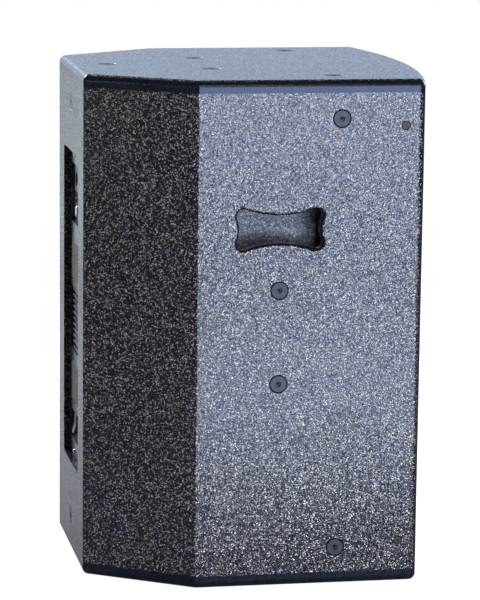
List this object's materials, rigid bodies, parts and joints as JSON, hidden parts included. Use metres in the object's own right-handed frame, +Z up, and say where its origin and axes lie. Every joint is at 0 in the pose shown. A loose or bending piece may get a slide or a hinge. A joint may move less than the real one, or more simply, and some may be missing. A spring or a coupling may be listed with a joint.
{
  "type": "pa speaker cabinet",
  "caption": "Trapezoid powered loudspeaker cabinet with a bowed grille, dog-bone hand-holes, M10 rigging points and a recessed rear amplifier plate.",
  "frame": {"origin": "middle of the footprint, at the bottom of the feet", "axes": "+Z up, the front grille faces -Y, the amplifier plate faces +Y, +X across"},
  "size_m": [0.39, 0.412, 0.604],
  "materials": {
    "textured_paint": "birch plywood under black textured polyurea paint, coarse speckle",
    "plywood": "plywood, thin black paint",
    "wadding": "polyester wadding",
    "black_screw": "black oxide, satin",
    "zinc_steel": "zinc plated",
    "plate_screw": "zinc plated, bright",
    "rubber": "matte",
    "socket_metal": "black powder coat",
    "grille_steel": "black powder coat, satin",
    "foam": "black open-cell foam",
    "cast_frame": "black painted casting",
    "ferrite": "dark grey ferrite and steel",
    "cone_paper": "black pressed paper",
    "coil_wire": "enamelled wire on a former",
    "treated_cloth": "treated cloth",
    "port_plastic": "moulded, satin",
    "titanium": "thin formed sheet",
    "plate_paint": "dark grey powder coat, smooth",
    "label_black": "matte film, blank",
    "fin_aluminium": "extruded, clear anodised",
    "circuit_board": "green solder mask with components",
    "tape_yellow": "taped copper winding on a steel core",
    "socket_plastic": "moulded, satin",
    "latch_metal": "nickel plated",
    "knob_metal": "turned, satin",
    "button_plastic": "moulded",
    "rocker_plastic": "moulded, light gloss",
    "lamp_lens": "tinted lens",
    "lead_jacket": "smooth jacket"
  },
  "bodies": {
    "cabinet": {"top_panel": "textured_paint", "bottom_panel": "textured_paint", "side_panel_left": "textured_paint", "side_panel_right": "textured_paint", "chamfer_panel_left": "textured_paint", "chamfer_panel_right": "textured_paint", "rear_panel": "textured_paint", "front_baffle": "plywood", "window_brace": "plywood", "acoustic_damping": "wadding", "handle_box_left": "textured_paint", "handle_box_right": "textured_paint", "rigging_screws": "black_screw", "rigging_inserts": "zinc_steel", "rubber_feet": "rubber", "underside_screws": "black_screw", "pole_socket": "socket_metal", "grille": "grille_steel", "grille_foam": "foam", "grille_screws": "black_screw", "woofer_basket": "cast_frame", "woofer_gasket": "rubber", "woofer_screws": "black_screw", "woofer_top_plate": "zinc_steel", "woofer_magnet": "ferrite", "woofer_back_plate": "zinc_steel", "woofer_surround": "treated_cloth", "woofer_spider": "treated_cloth", "port_tubes": "port_plastic", "horn_flare": "port_plastic", "horn_screws": "black_screw", "driver_body": "ferrite", "driver_cover": "cast_frame", "driver_suspension": "treated_cloth", "amp_frame": "plate_paint", "amp_frame_screws": "plate_screw", "label_plates": "label_black", "heat_sink": "fin_aluminium", "amp_back_box": "zinc_steel", "amp_board": "circuit_board", "mains_transformer": "tape_yellow", "input_panel": "plate_paint", "input_jack": "socket_plastic", "link_jack": "socket_plastic", "level_potentiometer": "socket_plastic", "voicing_switch": "socket_plastic", "indicator_lights": "lamp_lens", "mains_panel": "plate_paint", "mains_inlet": "socket_plastic", "rocker_housing": "socket_plastic", "internal_wiring": "lead_jacket"},
    "woofer_moving_parts": {"woofer_cone": "cone_paper", "woofer_dust_cap": "cone_paper", "woofer_voice_coil": "coil_wire"},
    "tweeter_diaphragm": {"driver_diaphragm": "titanium"},
    "level_control": {"level_shaft": "knob_metal", "level_knob": "knob_metal"},
    "input_latch_tab": {"input_latch": "latch_metal"},
    "voicing_push": {"voicing_button": "button_plastic"},
    "mains_rocker": {"power_rocker": "rocker_plastic"}
  },
  "joints": [
    {"name": "cone_travel", "type": "slide", "parent": "cabinet", "child": "woofer_moving_parts", "axis": [0, 1, 0], "range_m": [-0.006, 0.006], "stiffness_N_per_m": 3500, "deforming": ["woofer_surround", "woofer_spider"]},
    {"name": "diaphragm_travel", "type": "slide", "parent": "cabinet", "child": "tweeter_diaphragm", "axis": [0, 1, 0], "range_m": [-0.0003, 0.0003], "stiffness_N_per_m": 2000, "deforming": ["driver_suspension"]},
    {"name": "level_turn", "type": "hinge", "parent": "cabinet", "child": "level_control", "pos_m": [-0.023, 0.194, 0.4295], "axis": [0, -1, 0], "range_deg": [-150, 150]},
    {"name": "latch_press", "type": "slide", "parent": "cabinet", "child": "input_latch_tab", "axis": [0, -1, 0], "range_m": [0, 0.0015], "stiffness_N_per_m": 400},
    {"name": "voicing_press", "type": "slide", "parent": "cabinet", "child": "voicing_push", "axis": [0, -1, 0], "range_m": [0, 0.002], "stiffness_N_per_m": 300},
    {"name": "mains_rock", "type": "hinge", "parent": "cabinet", "child": "mains_rocker", "pos_m": [0.033, 0.19, 0.155], "axis": [1, 0, 0], "range_deg": [-16, 0]}
  ]
}
